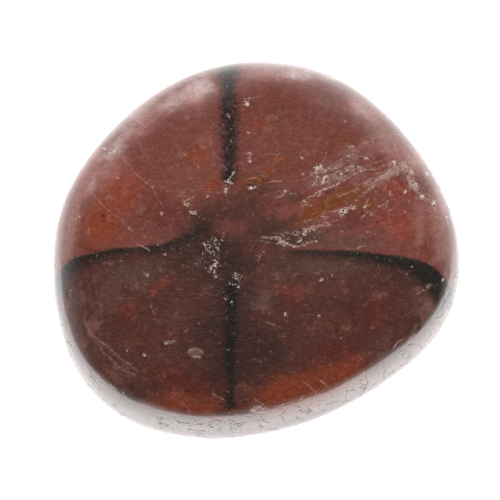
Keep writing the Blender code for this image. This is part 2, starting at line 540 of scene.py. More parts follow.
# %% The lines
SCRATCHES = {
    "upper left": [
        (0.045, 0.5, (121.4, 156.6), (129.8, 166.5), (135.4, 173.5), (145.2, 181.9), (152.2, 187.5)),
        (0.04, 0.4, (152.2, 187.5), (157.9, 198.7), (163.5, 207)),
        (0.04, 0.5, (91.9, 193), (100.3, 203), (110, 211.4), (120, 218.4), (129.8, 228.9)),
        (0.045, 0.6, (126.5, 225.4), (129.8, 228.9), (134, 232.4)),
        (0.06, 0.45, (132.6, 117.3), (139, 121), (145, 127)),
        (0.055, 1.0, (139.6, 245), (144, 247), (148.7, 250)),
        (0.03, 0.35, (166, 191.5), (190, 190), (220, 193)),
        (0.03, 0.25, (150, 180), (170, 182), (200, 186)),
        (0.06, 0.8, (184, 202), (188, 199.5), (193, 197)),
    ],
    "beside the upper arm": [
        (0.04, 0.3, (211, 140), (213, 152), (215, 165)),
        (0.06, 0.65, (269.5, 182), (274, 181), (280.7, 181.2)),
        (0.09, 1.0, (248.5, 187.5), (252, 188.5), (255.5, 186.5)),
        (0.045, 0.45, (247, 179.5), (253, 178), (257, 178.5), (261, 180.5)),
        (0.035, 0.45, (259.6, 154.5), (268, 154.2), (278, 154.7)),
        (0.04, 0.5, (262, 196), (272, 192.5), (280, 190)),
    ],
    "below the level arms": [
        (0.035, 0.35, (117, 298.5), (127, 298.8), (134, 298)),
        (0.045, 0.8, (150.9, 306.5), (151.8, 310), (153.7, 312.8)),
        (0.05, 0.5, (266, 322), (271, 323.5), (277, 325.8)),
    ],
    "right end": [
        (0.14, 0.75, (423, 289.8), (427.5, 286.5), (430.5, 284.5)),
        (0.05, 0.6, (418, 293.5), (421.5, 291), (425, 288)),
    ],
    "front": [
        (0.06, 1.0, (395, 346.5), (397, 343.5), (399.3, 340.9)), (0.04, 0.6, (401.4, 341), (404.2, 336.6)),
        (0.05, 0.8, (320, 380.5), (323.5, 382.5), (326.3, 385.5)),
        (0.05, 0.7, (303.2, 382.5), (307.5, 384), (310.9, 387.9)),
        (0.045, 0.6, (310.9, 387.9), (314.5, 391), (317.2, 397)),
        (0.05, 0.8, (302.4, 397), (301, 400), (300.3, 403)),
        (0.06, 0.7, (255.4, 399.8), (259, 401.5), (263.9, 405.4)),
        (0.04, 0.5, (213, 394), (219, 397.5), (225, 400.5)),
        (0.06, 0.4, (181, 402.5), (186, 405.5), (189, 411.5)),
        (0.05, 1.0, (122.8, 392.5), (124, 395.5), (125.2, 398)),
        (0.05, 0.8, (110, 384.5), (112, 387), (114.5, 388.5)),
    ],
    "crackle": [
        (0.08, 0.9, (316, 192.5), (324, 189.5), (333, 186), (341, 181.9)),
        (0.06, 0.75, (341, 181.9), (352, 175.5), (362, 170.7), (374.7, 169.3)),
        (0.05, 0.6, (318, 183), (328, 177), (340, 170), (352, 165.5)),
        (0.05, 0.5, (330, 166), (344, 158), (358, 152)), (0.05, 0.4, (352, 147), (362, 145), (374, 139)),
        (0.07, 0.85, (303, 201), (309, 197), (322, 194.3)),
        (0.06, 0.7, (301, 206), (306, 205), (312, 205.5)),
        (0.09, 0.5, (277, 198), (282, 195), (287, 191.5)),
        (0.045, 0.8, (339, 178.5), (345, 174.5), (351, 171.5), (359, 169.5)),
        (0.045, 0.6, (313, 174), (317, 169.5), (320, 167), (325, 158)),
    ],
    "amber streaks": [
        (0.05, 0.7, (338, 197), (349, 192.5), (357, 188)),
        (0.07, 0.75, (330, 212), (338, 210), (346, 207.5), (355, 208.5)),
        (0.07, 0.9, (360.7, 218.6), (364, 215.5), (369, 211.4)), (0.06, 0.8, (365, 204.5), (368, 200)),
        (0.045, 0.5, (303, 222), (313, 219), (325, 213)), (0.05, 0.7, (341, 215), (346, 212.5)),
    ],
    "red zone": [
        (0.05, 0.7, (384, 189), (386.5, 185)), (0.06, 0.9, (404, 193.5), (405.3, 190.5)),
        (0.05, 0.7, (355, 191.5), (364, 186.5), (373, 182.5), (384, 176)),
        (0.045, 0.7, (355, 182.5), (360, 179), (365, 177)), (0.05, 0.8, (381, 206), (385, 202.5)),
        (0.045, 0.7, (388, 211), (392, 209.5)), (0.05, 0.7, (372, 215), (376, 210.5)),
        (0.04, 0.5, (392, 181), (398, 184), (402, 189)),
    ],
    "level streaks": [
        (0.06, 0.65, (262.5, 237), (275, 237.3), (293, 233.8)),
        (0.07, 0.85, (286, 242.5), (291, 245.5), (297, 246.6), (304.5, 245)),
        (0.05, 0.7, (303, 242.8), (309, 242.8), (317, 240.2)),
        (0.05, 0.6, (299, 232.8), (309, 229), (318.6, 226.8), (332, 224.5)),
        (0.06, 0.75, (357.9, 248.2), (360, 246.5), (364, 246)),
        (0.05, 0.6, (268, 242), (276, 241), (284, 239.5)),
        (0.045, 0.5, (260, 240.5), (272, 243), (285, 244.5)),
        (0.045, 0.45, (273, 233.5), (285, 233), (297, 231)),
        (0.045, 0.5, (303, 229.5), (314, 225.5), (326, 222.5), (338, 220.5)),
    ],
    "right shoulder": [
        (0.045, 0.35, (345, 152), (358, 146), (372, 135), (380, 131)),
        (0.045, 0.3, (373, 138.5), (382, 135), (391, 134), (400, 135)),
        (0.05, 0.45, (360, 169), (371, 164), (382, 160.5), (394, 156.5)),
        (0.04, 0.4, (350, 160), (360, 157), (371, 155.5)),
    ],
}
VEINS = {
    "vein": [
        (0.42, 0.9, (382, 177), (390, 172), (397, 167), (404, 166), (411, 170)),
        (0.2, 1.0, (388.7, 166), (392, 163.5), (396, 162)),
        (0.22, 0.9, (398, 164.5), (404, 164.3), (409, 168), (414, 174)),
        (0.23, 1.0, (407, 171), (409.5, 179), (413, 185), (417.5, 190.5), (422.4, 197)),
        (0.1, 0.9, (422.4, 197), (428, 200.5), (433.6, 203)),
        (0.1, 0.7, (433.6, 203), (434.6, 207), (435.7, 212)),
        (0.07, 0.7, (428, 194), (431, 198), (434.5, 203)),
        (0.14, 0.5, (366.3, 183.3), (374, 179.5), (381.7, 176.3), (390, 172)),
        (0.1, 0.45, (353, 203), (366, 192), (378, 184), (389, 178)),
        (0.08, 0.5, (374, 170), (382, 166.5), (389, 163)),
    ],
    "front, by the arm": [(0.22, 0.6, (250, 411), (256, 408.5), (262, 409.5), (267, 412))],
}
ARCS = {
    "upper arc": [
        (0.1, 0.9, (84, 318), (86.3, 325.4), (88.4, 331), (96, 338), (101.7, 342), (110, 349), (121.4, 359)),
        (0.11, 0.9, (121.4, 359), (127, 362.5), (136.8, 370.3)),
    ],
    "lower arc": [
        (0.09, 0.7, (87.7, 333.8), (96, 340.8), (100.3, 346.5), (103, 351)),
        (0.09, 0.8, (101.7, 352), (110, 357.7), (114.4, 363.3), (124, 370.3), (135.4, 375.2)),
    ],
    "inner line": [(0.12, 0.35, (103, 288), (101, 305), (100.3, 317))],
}
RUST = {
    "beside the upper arm": [
        (0.06, 0.9, (243, 183), (250, 178), (257, 177), (266.7, 170.7), (277.9, 160.8), (286.3, 155.2)),
    ],
    "worm": [(0.1, 1.0, (152.3, 296.5), (152.8, 294), (154.5, 292.5), (156.5, 292.8))],
    "front": [
        (0.06, 0.5, (275, 398), (285, 393), (296, 394)), (0.05, 0.5, (281, 388), (292, 384), (303, 384.5)),
    ],
    "left rim": [(0.07, 0.6, (76, 208), (79, 212), (80, 217))],
    "amber band": [(0.06, 0.4, (312, 214), (324, 210), (336, 203))],
}
CRACKS = {
    "inside": [
        (0.055, 0.9, (134, 317), (136.8, 314), (140.3, 313.5)),
        (0.09, 0.8, (318, 195), (326, 193), (334, 190.5)),
        (0.06, 0.5, (89, 333.5), (98, 342), (108, 352), (122, 364)),
        (0.06, 0.5, (405, 175), (408, 184), (414, 191), (421, 199)),
        (0.05, 0.6, (215, 293.5), (226, 293.8), (243, 295.5)),
        (0.06, 0.7, (185, 391.5), (188, 390), (190.5, 390.3)),
    ],
    "rim, front": [
        (0.06, 1.0, (230.5, 408), (230, 418), (230.8, 430)),
        (0.075, 0.7, (235, 420.8), (238, 425), (241, 428)),
        (0.075, 0.9, (159.5, 420), (161, 424), (161.4, 428.5)),
        (0.075, 0.8, (157.8, 416.3), (160, 417.6), (162, 417.4)),
        (0.068, 0.8, (176, 416.6), (176.8, 421), (180.3, 421.5), (188.7, 422.4)),
        (0.06, 0.7, (167.7, 425.7), (171, 428), (174.7, 429.2)),
        (0.075, 0.7, (195.7, 419), (197.5, 423), (201, 424.5), (204, 421)),
        (0.06, 0.7, (193, 432), (202.8, 436.3), (214, 439.8)),
        (0.053, 0.5, (171.9, 430.6), (180, 433.5), (187.3, 435.6)),
        (0.075, 0.7, (217.5, 431), (220, 429.5), (221.5, 427)),
        (0.06, 0.6, (226.6, 435.4), (231, 436.3), (235, 436.3)),
        (0.068, 0.7, (262, 412), (261, 417), (264, 421), (268, 421.8)),
        (0.075, 0.8, (296, 416.4), (299.5, 419.5), (304, 419)),
        (0.053, 0.5, (306, 421.5), (313, 419.5), (321.5, 416)),
        (0.06, 0.6, (269.5, 429), (273, 430), (276.5, 429.8)),
        (0.053, 0.5, (240, 432), (248, 433), (257, 432)),
    ],
    "rim, front right": [
        (0.06, 0.5, (318.5, 397.5), (319.5, 403), (319, 408)),
        (0.06, 0.5, (331, 391), (332.5, 397), (331, 403)),
        (0.06, 0.6, (344.5, 387), (346.8, 392), (345.5, 398.5)),
        (0.053, 0.4, (325, 405), (332, 403), (338, 400)),
        (0.068, 0.8, (364.9, 375.5), (367.7, 381.5), (364.9, 388.5), (359, 395.6)),
        (0.068, 0.8, (383, 364.7), (386, 370.3), (383, 375), (384, 379)),
        (0.075, 0.8, (400, 350.7), (402, 352.5), (402.8, 355)),
        (0.068, 0.7, (405.6, 359), (408, 356.5), (411, 353.5)),
        (0.06, 0.6, (401, 368), (405, 364.5), (409, 361.5)),
    ],
    "rim, right": [
        (0.06, 0.6, (429.4, 342.2), (436, 335.5), (440, 329), (439.2, 321.2)),
        (0.075, 0.7, (441, 308), (443, 304), (442.5, 300)),
        (0.075, 0.7, (446, 300), (447.8, 294), (447, 290)),
        (0.06, 0.6, (449.5, 247), (451.5, 252), (450.5, 256)),
    ],
    "rim, left": [
        (0.075, 0.6, (60, 302), (61.5, 306), (61, 310)), (0.083, 0.8, (65, 319), (66.5, 322), (67.5, 326)),
        (0.068, 0.6, (69, 350), (70.5, 353.5), (72, 356)),
        (0.075, 0.7, (90.5, 369.5), (93, 375), (96, 381.5)),
        (0.068, 0.6, (87.5, 383), (90, 386), (93, 388)),
        (0.075, 0.7, (113, 404), (114.8, 405.5), (116.5, 405.6)),
    ],
}
LINE_END = 0.15                         # mm, over which a line fades past its end
LINE_MARGIN = (0.15, 0.35)              # mm beside a line, where its strength falls to 0
FARTHEST = 9.0                          # half widths, the most that is kept


def lines(table):
    """The nearest of some lines: how far to its left or right a point lies in half
    widths, and its strength, which is 0 away from it."""
    nearest = np.full(len(points), np.inf)
    side = np.zeros(len(points))
    strength = np.zeros(len(points))
    for half_width, amount, *corners in all_rows(table):
        corners = np.array(corners, dtype=float)
        there = same_side(*corners.mean(axis=0))
        margin = (half_width + LINE_MARGIN[0], half_width + LINE_MARGIN[1])
        for start, end in zip(corners[:-1], corners[1:]):
            step = end - start
            length = np.hypot(*step)
            rel = seen - start
            along = rel @ step / length
            left_of = (step[0] * rel[:, 1] - step[1] * rel[:, 0]) / length
            past = np.maximum(np.maximum(-along, along - length), 0.0)
            gap = np.hypot(left_of, past) * PIXEL
            closer = (gap < nearest) & (there > 0.5)
            nearest[closer] = gap[closer]
            side[closer] = left_of[closer] * PIXEL / half_width
            fade = 1.0 - ramp(past * PIXEL, 0.0, LINE_END)
            strength[closer] = (amount * fade * (1.0 - ramp(gap, *margin)))[closer]
    return side.clip(-FARTHEST, FARTHEST), strength


drawn_lines = {}
for name, table in (
    ("scratches", SCRATCHES), ("veins", VEINS), ("arcs", ARCS), ("rust", RUST), ("cracks", CRACKS),
):
    drawn_lines[name] = lines(table)
    print(name, "drawn:", len(all_rows(table)))

# %% [markdown]
# The brightest points of light are placed too, as painted highlights: each is a
# tiny chip or a crack seen end on, painted bright where it would catch the light
# and sunk a little in the relief. Each is where it lies and its radius in pixels.

# %% The glints and pits
GLINTS = {
    "upper left": [
        (217, 248, 1.5), (204, 244, 1.4), (212, 239, 1.0), (222, 240, 1.1), (224, 233, 0.9),
        (223, 125, 1.0), (227, 149, 1.1), (226, 192, 1.4), (224, 187, 1.0), (226.5, 86, 0.9),
        (190, 212, 1.4), (195.7, 213, 1.5), (161.4, 213.5, 1.3), (207.7, 196, 1.3), (153, 186, 1.1),
        (117, 177.7, 1.2), (106, 149, 1.2), (115, 151, 1.2), (103.5, 148.5, 1.0), (118.5, 138, 0.9),
        (80, 217, 1.2), (78, 206, 1.0), (88.4, 229, 0.9), (129, 228, 1.0), (198.6, 166.5, 0.9),
        (179, 165, 0.9), (142, 229, 0.9), (204, 219, 1.0), (158, 245, 1.0),
    ],
    "upper right": [
        (229, 117, 1.4), (233, 173, 1.4), (228, 181, 2.0), (232, 183, 1.2), (231, 141, 0.9),
        (247, 104, 1.5), (249, 98, 1.0), (244, 99, 0.9), (248.4, 132.8, 1.4), (249.8, 160.9, 1.6),
        (250, 153, 1.0), (247, 154, 0.9), (251, 188, 1.6), (253, 214, 0.9), (426.6, 173.5, 1.8),
        (422, 196.5, 1.6), (433.5, 203, 1.6), (394, 163, 1.5), (412, 172, 1.3), (404.8, 192, 1.4),
        (379, 205.7, 1.3), (316, 168, 1.5), (320.5, 165.5, 1.2), (366.5, 158, 1.4), (362, 171, 1.3),
        (327, 175.5, 1.3), (324, 189, 1.4), (349.5, 147, 1.1), (353, 146, 1.0), (302, 157.5, 1.3),
        (326, 153, 1.0), (345, 121, 1.1), (303, 174, 1.1), (285.5, 191, 1.3), (295.5, 194, 1.0),
        (389, 181, 1.0), (374.5, 233.5, 0.9), (342, 231, 1.0), (368, 232, 0.9), (447, 217, 1.1),
        (443, 230, 0.8), (280, 238, 1.1), (294, 246, 1.3), (316, 241, 1.3),
    ],
    "lower left": [
        (215, 265, 2.0), (216, 277, 1.4), (211, 253, 1.1), (207, 250, 1.0), (200, 262, 1.1),
        (214, 272, 1.5), (219, 258, 1.0), (194, 279, 0.9), (224, 298, 1.0), (144, 273, 1.2),
        (147.5, 275.5, 1.4), (105, 262, 0.8), (97, 255.5, 0.9), (121, 261, 0.9), (114, 272.5, 0.8),
        (126.5, 254, 0.9), (165, 254, 1.4), (166, 343, 1.5), (170, 342.5, 1.2), (173, 341, 1.0),
        (144, 354.5, 1.5), (127, 350.5, 1.0), (190.5, 350.5, 1.0), (194, 348.8, 0.9), (200, 356.5, 1.0),
        (71, 290, 0.9), (199.5, 323, 1.0),
    ],
    "lower right": [
        (229.5, 283, 1.5), (238, 287, 1.3), (235, 273.5, 1.2), (231, 302, 1.3), (286.3, 314.2, 1.6),
        (318.6, 315.6, 1.3), (332, 275.6, 1.1), (322, 280, 1.5), (341.7, 338, 1.0), (361.4, 358.4, 0.9),
        (407, 274, 0.8), (412, 267, 1.0), (442.8, 279.8, 1.4), (259, 257, 1.1), (264, 252, 0.9),
        (330, 365, 0.9),
    ],
}
PITS = {
    "upper left": [(103, 215.6, 1.9), (104, 222, 1.2)],
    "upper right": [
        (362, 213, 1.8), (390.8, 217, 1.3), (377, 222, 1.4), (380, 221.5, 1.0), (384, 243, 0.9),
        (397, 220, 1.0),
    ],
    "lower left": [
        (147, 253.5, 2.2), (133, 388.5, 2.0), (187.5, 391, 1.5), (57, 262, 1.1), (57.5, 279, 1.1),
        (64, 338, 1.0), (114, 405, 1.1), (133.5, 408, 1.5), (146, 414, 1.1), (151.5, 424, 1.1),
        (143, 326, 1.1), (197, 303, 0.9), (86, 250, 1.2), (87, 335, 1.0),
    ],
    "lower right": [
        (337, 331, 1.9), (337, 326, 1.2), (332, 321, 1.2), (352, 311, 1.2), (355, 314, 1.0),
        (350, 304, 0.9), (396, 324, 1.1), (293, 285, 1.2), (308, 298, 1.6), (409, 252, 1.1),
        (424, 333, 1.1), (432, 314, 1.1), (351, 362, 1.3), (444, 286, 1.1),
    ],
}
SPOT_SIZES = (0.2, 1.9)                 # pixels, the radii that show not at all and fully
SPOT_MARGIN = (2.5, 4.0)                # pixels outside a spot, where its strength falls to 0


def spots(table):
    """The nearest of some round spots: the steps right and down to it in its radii,
    and a strength that grows with its size and is 0 a few pixels outside it."""
    nearest = np.full(len(points), np.inf)
    to_spot = np.zeros((len(points), 3))
    for across, down, radius in all_rows(table):
        step = seen - [across, down]
        gap = np.hypot(*step.T) - radius
        closer = (gap < nearest) & (same_side(across, down) > 0.5)
        nearest[closer] = gap[closer]
        to_spot[closer, :2] = step[closer] / radius
        to_spot[closer, 2] = ramp(radius, *SPOT_SIZES) * (1.0 - ramp(gap[closer], *SPOT_MARGIN))
    return to_spot


glints, pits = spots(GLINTS), spots(PITS)
print("glints:", len(all_rows(GLINTS)), "pits:", len(all_rows(PITS)))

# %% [markdown]
# ## The worn skin
#
# The polish is not perfect. The skin waves by hundredths of a millimetre, which is
# what bends the reflections, and the rim has small dents from stones that struck it
# in the tumbler. These have a shape, so they are in the mesh, not only in the bump.

# %% Waves and dents
WAVES = 40
WAVE_HEIGHT = 0.006                     # mm
WAVE_LENGTHS = (2.0, 5.0)               # mm
DENTS = 90
DENT_RADIUS = (0.22, 0.50)              # mm
DENT_DEPTH = (0.005, 0.022)             # mm
RIM_REACH = 3.4                         # mm above and below the widest level
RING = (195.2, 352.6)                   # pixels, the middle of a small struck ring
RING_RADII = (6.6, 4.3)                 # pixels across and down
RING_WIDTH = 0.22                       # radii
RING_DEPTH = 0.02                       # mm


def surface_waves(count, seed):
    """The sum of plane waves in seeded directions, each
    height * cos(2 pi distance / length + phase)."""
    random = np.random.default_rng(seed)
    total = np.zeros(len(points))
    for length in random.uniform(*WAVE_LENGTHS, count):
        way = random.normal(size=3)
        way /= np.linalg.norm(way)
        total += np.cos(2.0 * np.pi * (points @ way) / length + random.uniform(0.0, 2.0 * np.pi))
    return WAVE_HEIGHT * total * np.sqrt(2.0 / count)


def dents(seed):
    """Seeded round dents on the rim: depth * (1 - (distance / radius)^2)^2 inside
    each radius."""
    random = np.random.default_rng(seed)
    rim_height = round_the_stone(RIM_LEVELS, np.arctan2(y, x)) + lift[2]
    rim = np.flatnonzero(np.abs(z - rim_height) < RIM_REACH)
    total = np.zeros(len(points))
    for middle in points[random.choice(rim, DENTS)]:
        radius = random.uniform(*DENT_RADIUS)
        distance = np.linalg.norm(points - middle, axis=1) / radius
        total += random.uniform(*DENT_DEPTH) * np.clip(1.0 - distance**2, 0.0, None) ** 2
    return total


def ring_mark():
    """A struck ring: e^-((r - 1) / width)^2, with r the distance from its middle over
    its radii, and what lies inside it."""
    r = np.hypot(*((seen - RING) / RING_RADII).T)
    there = same_side(*RING)
    return falloff(r - 1.0, RING_WIDTH) * there, ramp(r, 1.2, 0.6) * there


ring, ring_inside = ring_mark()
dent_depth = dents(seed=23)
raised = surface_waves(WAVES, seed=21) - dent_depth - RING_DEPTH * ring
skin = points + normals * raised[:, None]
skin_low, skin_high = skin.min(axis=0), skin.max(axis=0)
skin_low[2] = box_low[2]                # the floor cuts off what lies below it
skin *= 1.0 - np.maximum(0.0, (skin_high - skin_low) / (box_high - box_low) - 1.0)
print("deepest dent, mm:", round(float(dent_depth.max()), 3))

# %% Make the mesh
SPOT_ROUNDING = 0.08                    # mm
SHEET_LIMIT = 8.0                       # the most that is kept of a sheet's edge distance


def rest_on_floor(points):
    """The flat spot: height z becomes (z + sqrt(z^2 + k^2)) / 2, which is z above
    the floor and 0 below it, with a rounded edge of size k."""
    worn = points.copy()
    worn[:, 2] = (points[:, 2] + np.sqrt(points[:, 2] ** 2 + SPOT_ROUNDING**2)) / 2
    return worn


mesh = bpy.data.meshes.new("pebble_skin")
mesh.from_pydata((rest_on_floor(skin) * MM).tolist(), [], quads.tolist())
mesh.shade_smooth()
pebble = bpy.data.objects.new("pebble_skin", mesh)
bpy.context.scene.collection.objects.link(pebble)
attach(pebble, "root")
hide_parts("pebble")


def keep(name, values):
    """Store a number, or a row of three, for each point of the mesh."""
    kind, what = ("FLOAT", "value") if values.ndim == 1 else ("FLOAT_VECTOR", "vector")
    data = mesh.attributes.new(name, kind, "POINT").data
    data.foreach_set(what, values.astype(np.float32).ravel())


SIDES = {name + "_side": side for name, (side, _) in drawn_lines.items()}
STRENGTHS = {name + "_strength": strength for name, (_, strength) in drawn_lines.items()}
KEPT = zones | SIDES | STRENGTHS | {
    "level_sheet": level_sheet.clip(-SHEET_LIMIT, SHEET_LIMIT),
    "upright_sheet": upright_sheet.clip(-SHEET_LIMIT, SHEET_LIMIT),
    "sheet_shadow": np.maximum.reduce([arm_shadow, upper_shadow, LEVEL_SHADE * level_shadow]),
    "shade_below_sheet": shade_below_sheet, "ring": ring, "ring_inside": ring_inside, "glints": glints, "pits": pits,
    "rim": ramp(normals[:, 2], 0.70, 0.50) * ramp(y, 9.0, 3.0),  # steep, and not at the back
}
for name, values in KEPT.items():
    keep(name, values)
print("values kept for each point:", len(KEPT))

# %% [markdown]
# ## The material
#
# Polished andalusite is a clear to cloudy stone with a glassy surface: refractive
# index 1.64, very smooth, and light that enters scatters about a millimetre before
# it leaves. It could be one colour with noise, but the eye reads the depth of a
# stone from layers: clouds far in, zones and sheets, then veins and specks on top.

# %% Two helpers


def linear(hex_colour):
    """An sRGB hex colour as linear RGBA."""
    srgb = np.array([int(hex_colour[k:k + 2], 16) for k in (1, 3, 5)]) / 255
    low, high = srgb / 12.92, ((srgb + 0.055) / 1.055) ** 2.4
    return (*np.where(srgb < 0.04045, low, high).tolist(), 1.0)


def add_node(tree, kind, sockets=None, **settings):
    """Add a node, apply its settings, and set or link its sockets, which are given
    by name or number. Gives its outputs."""
    node = tree.nodes.new("ShaderNode" + kind)
    for name, value in settings.items():
        setattr(node, name, value)
    for name, value in (sockets or {}).items():
        if isinstance(value, bpy.types.NodeSocket):
            tree.links.new(value, node.inputs[name])
        else:
            node.inputs[name].default_value = value
    return node.outputs


ROSE_BROWN, SHADE_BELOW_BROWN = "#75423A", "#58332D"
stone = bpy.data.materials.new("polished_andalusite")
stone.use_nodes = True
tree = stone.node_tree
shader = tree.nodes["Principled BSDF"]
from_mesh = {name: add_node(tree, "Attribute", attribute_name=name) for name in KEPT}
print("rose-brown in linear light:", [round(v, 3) for v in linear(ROSE_BROWN)[:3]])

# %% [markdown]
# All patterns are read in millimetres of the stone's own space, so that they go
# through it like real clouds and grain. Those along the streaks are drawn out along
# the healed cracks, which run up to the right, and the level ones along the grain.

# %% The patterns
STREAK_ANGLE = np.radians(27.0)
SMOOTH = {"interpolation_type": "SMOOTHSTEP"}  # a range whose ends are soft
metres = add_node(tree, "TexCoord")["Object"]
in_mm = add_node(tree, "VectorMath", {0: metres, "Scale": 1.0 / MM}, operation="SCALE")[0]
places = {"stone": in_mm}
for name, angle, drawn_out in (
    ("streaks", STREAK_ANGLE, 3.0), ("strokes", STREAK_ANGLE, 2.8), ("level", 0.0, 5.0),
):
    sockets = {0: in_mm, "Rotation": (0.0, 0.0, angle), "Scale": (drawn_out, 1.0, 1.0)}
    places[name] = add_node(tree, "Mapping", sockets, vector_type="TEXTURE")[0]

PATTERNS = {                            # where it is read, size in mm, detail, roughness
    "clouds": ("stone", 5.0, 4.0, 0.55),
    "drifts": ("streaks", 2.6, 4.0, 0.55),
    "mottle": ("stone", 1.1, 4.0, 0.60),
    "flecks": ("stone", 0.45, 3.0, 0.60),
    "grain": ("stone", 0.22, 3.0, 0.60),
    "fine": ("stone", 0.13, 2.0, 0.60),
    "streaks": ("streaks", 0.30, 4.0, 0.60),
    "fine_streaks": ("streaks", 0.12, 3.0, 0.60),
    "level_grain": ("level", 0.12, 3.0, 0.55),
    "strokes": ("strokes", 0.26, 1.5, 0.5),
    "fine_strokes": ("strokes", 0.15, 1.0, 0.5),
}
patterns = {}
for name, (place, size, detail, roughness) in PATTERNS.items():
    sockets = {"Vector": places[place], "Scale": 1.0 / size, "Detail": detail, "Roughness": roughness}
    patterns[name] = add_node(tree, "TexNoise", sockets)["Fac"]
print("patterns:", len(PATTERNS))

# %% [markdown]
# ## Clouds and zones
#
# The clear stone and the stone below the level sheet, which is painted darker as
# the sheet's shade, each have a ground colour, clouded where broad patterns rise.
# Each kept zone then becomes a colour layer. The mottle eats into its edge, because
# a stain follows the grain and never ends in a clean curve.

# %% The clouds as layers
CLEAR_CLOUDS = (                        # pattern, where it starts, where it is full, cover, colour
    ("clouds", 0.42, 0.60, 0.80, "#7E4740"),
    ("drifts", 0.48, 0.66, 0.60, "#6E3D2F"),
    ("mottle", 0.52, 0.72, 0.40, "#84574E"),
    ("streaks", 0.55, 0.75, 0.25, "#8E5F55"),
)
SHADE_BELOW_CLOUDS = (
    ("drifts", 0.42, 0.64, 0.55, "#4A2F2A"),
    ("clouds", 0.46, 0.62, 0.40, "#613A31"),
    ("mottle", 0.50, 0.70, 0.45, "#6B3F36"),
)
# painted shade below the level sheet, with its own darker ground colour and clouds
shade_below_sheet = from_mesh["shade_below_sheet"]["Fac"]
body_layers = []
for inside, ground, clouds in ((1.0, ROSE_BROWN, CLEAR_CLOUDS), (shade_below_sheet, SHADE_BELOW_BROWN, SHADE_BELOW_CLOUDS)):
    body_layers.append((inside, ground))
    for pattern, start, full, cover, hex_colour in clouds:
        most = add_node(tree, "Math", {0: inside, 1: cover}, operation="MULTIPLY")[0]
        sockets = {0: patterns[pattern], 1: start, 2: full, 3: 0.0, 4: most}
        body_layers.append((add_node(tree, "MapRange", sockets, **SMOOTH)[0], hex_colour))
print("layers so far:", len(body_layers))

# %% The zones as layers
ZONE_LOOKS = {                          # colour, how far the mottle breaks its edge, cover
    "plum": ("#62473F", 1.2, 0.75),
    "maroon": ("#5F2C26", 1.2, 0.85),
    "red": ("#8A4034", 1.2, 0.80),
    # the front-edge patches of this layer are a painted glow
    "orange_and_glow": ("#863F28", 1.0, 0.90),
    "amber": ("#763F1C", 1.6, 0.90),
    # the rosy and milky layers are partly painted highlights near the rim
    "rosy_and_sheen": ("#A06C64", 1.0, 0.75),
    "milky_and_sheen": ("#C9B0AC", 1.0, 0.80),
    "dark": ("#3A2922", 1.4, 0.80),
}
NO_LOOK = (None, 1.2, 1.0)              # the veil and the sparkle have no colour of their own
START, SPREAD = 0.05, 0.85              # where a zone begins to cover, and over what rise
covers = {}
for name in ZONE_PLACES:
    _, breakup, cover = ZONE_LOOKS.get(name, NO_LOOK)
    sockets = {0: patterns["mottle"], 1: breakup, 2: from_mesh[name]["Fac"]}
    broken = add_node(tree, "Math", sockets, operation="MULTIPLY_ADD")[0]
    start = 0.5 * breakup + START
    sockets = {0: broken, 1: start, 2: start + SPREAD, 3: 0.0, 4: cover}
    covers[name] = add_node(tree, "MapRange", sockets, **SMOOTH)[0]
body_layers += [(covers[name], hex_colour) for name, (hex_colour, _, _) in ZONE_LOOKS.items()]
print("layers so far:", len(body_layers))

# %% [markdown]
# ## The cross
#
# Graphite is grey-black with a green cast in this stone. The sheets end raggedly,
# because the grains of graphite lie among the mineral's own, so noise moves their
# edges. The stone beside them is painted darker, as painted shade of the graphite
# that lies deeper.

# %% The cross as layers
RAGGED = 4.0                            # how far noise moves an edge, in edge widths
BEGINS, FULL = -0.25 * RAGGED - 1.1, -0.25 * RAGGED + 1.1  # where a sheet starts and is full
SHEETS = {                              # pattern, its range, the least and most cover, colour
    "level_sheet": ("grain", 0.25, 0.50, 0.75, 0.96, "#20221E"),
    "upright_sheet": ("flecks", 0.32, 0.55, 0.68, 0.94, "#1D1E1B"),
}
# painted shade beside the arms and the level sheet, uneven with the mottle
uneven = add_node(tree, "Math", {0: patterns["mottle"], 1: 0.7, 2: 0.35}, operation="MULTIPLY_ADD")[0]
shadow = add_node(tree, "Math", {0: from_mesh["sheet_shadow"]["Fac"], 1: uneven}, operation="MULTIPLY")[0]
body_layers.append((shadow, "#2B2421"))

push = -0.5 * RAGGED
for pattern, reach in (("flecks", RAGGED), ("grain", -0.5 * RAGGED)):
    push = add_node(tree, "Math", {0: patterns[pattern], 1: reach, 2: push}, operation="MULTIPLY_ADD")[0]
for sheet, (pattern, start, end, least, most, hex_colour) in SHEETS.items():
    cover = add_node(tree, "MapRange", {0: patterns[pattern], 1: start, 2: end, 3: least, 4: most})[0]
    ragged = add_node(tree, "Math", {0: from_mesh[sheet]["Fac"], 1: push}, operation="ADD")[0]
    sockets = {0: ragged, 1: BEGINS, 2: FULL, 3: 0.0, 4: cover}
    body_layers.append((add_node(tree, "MapRange", sockets, **SMOOTH)[0], hex_colour))
print("layers so far:", len(body_layers))

# %% [markdown]
# ## Veils, specks and strokes
#
# A healed crack is a sheet of tiny bubbles, which shows as a whitish veil with
# streaks and bright specks, and the bright specks are partly painted glints. The
# specks are where a fine pattern peaks, and the peaks come through more easily
# where specks crowd. They are 0.1 to 0.2 mm across. The strokes are short bent
# pieces of the lines along which a noise is just one value.

# %% Veils and the level grain
LEVEL_MARKS = ((0.56, 0.72, "#7A4A40"), (0.44, 0.28, "#2E1D1A"))  # starts, is full, colour
sockets = {0: patterns["streaks"], 1: 0.40, 2: 0.66, 3: 0.0, 4: covers["veil"]}
veil_streaks = add_node(tree, "MapRange", sockets, **SMOOTH)[0]
veil_haze = add_node(tree, "Math", {0: veil_streaks, 1: 0.40}, operation="MULTIPLY")[0]
fine_layers = [(veil_haze, "#A08078")]

